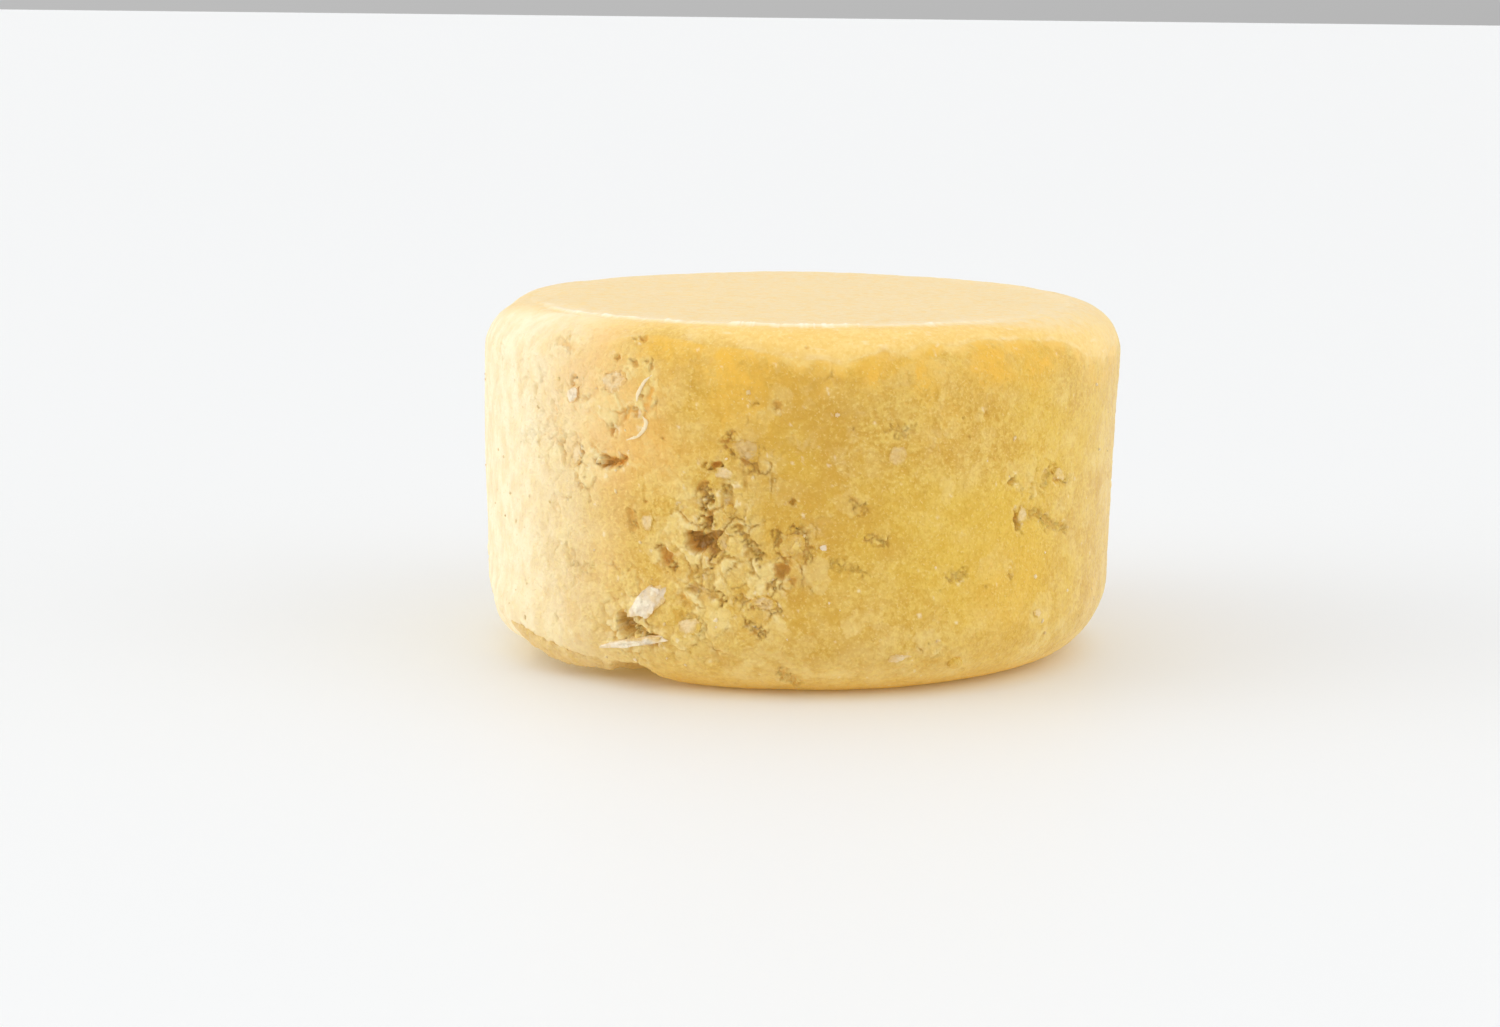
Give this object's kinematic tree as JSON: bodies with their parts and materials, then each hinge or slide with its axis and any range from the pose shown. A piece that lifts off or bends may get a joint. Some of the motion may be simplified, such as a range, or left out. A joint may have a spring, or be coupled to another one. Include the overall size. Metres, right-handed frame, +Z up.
{
  "type": "shaving soap puck",
  "caption": "Round pressed shaving soap puck with a rounded rim and foot, a smooth pale top skin and a crumbly side with flakes, grains, pits and a chipped foot.",
  "frame": {"origin": "middle of the underside, on the surface that the puck stands on", "axes": "+Z up through the middle of the top face; -Y towards the front, where most of the pits and flakes are"},
  "size_m": [0.065, 0.0651, 0.0354],
  "materials": {
    "soap_body": "waxy yellow pressed soap, matte",
    "soap_skin": "smooth waxy pale skin, satin",
    "soap_pale": "pale yellow soap grain, waxy",
    "soap_white": "dry white soap flake, matte",
    "soap_amber": "translucent grey-brown soap grain, waxy"
  },
  "bodies": {
    "root": {"puck_body": "soap_body", "top_skin": "soap_skin", "peeled_curl": "soap_skin", "edge_lip": "soap_pale", "white_flake": "soap_white", "torn_sliver": "soap_white", "upper_left_chip": "soap_white", "upper_left_grain": "soap_pale", "slot_flake": "soap_pale", "middle_left_grain": "soap_pale", "lower_left_grain": "soap_pale", "grey_grain": "soap_amber", "crack_grain": "soap_pale", "overhang_crumb": "soap_body", "cavity_grain": "soap_amber", "nugget": "soap_body", "lower_front_grain": "soap_pale", "white_speck": "soap_white", "round_grain": "soap_amber", "right_socket_grain": "soap_pale", "right_upper_grain": "soap_pale", "lower_right_chip": "soap_white", "foot_crumb": "soap_body", "foot_cluster_crumb": "soap_white"}
  },
  "joints": []
}
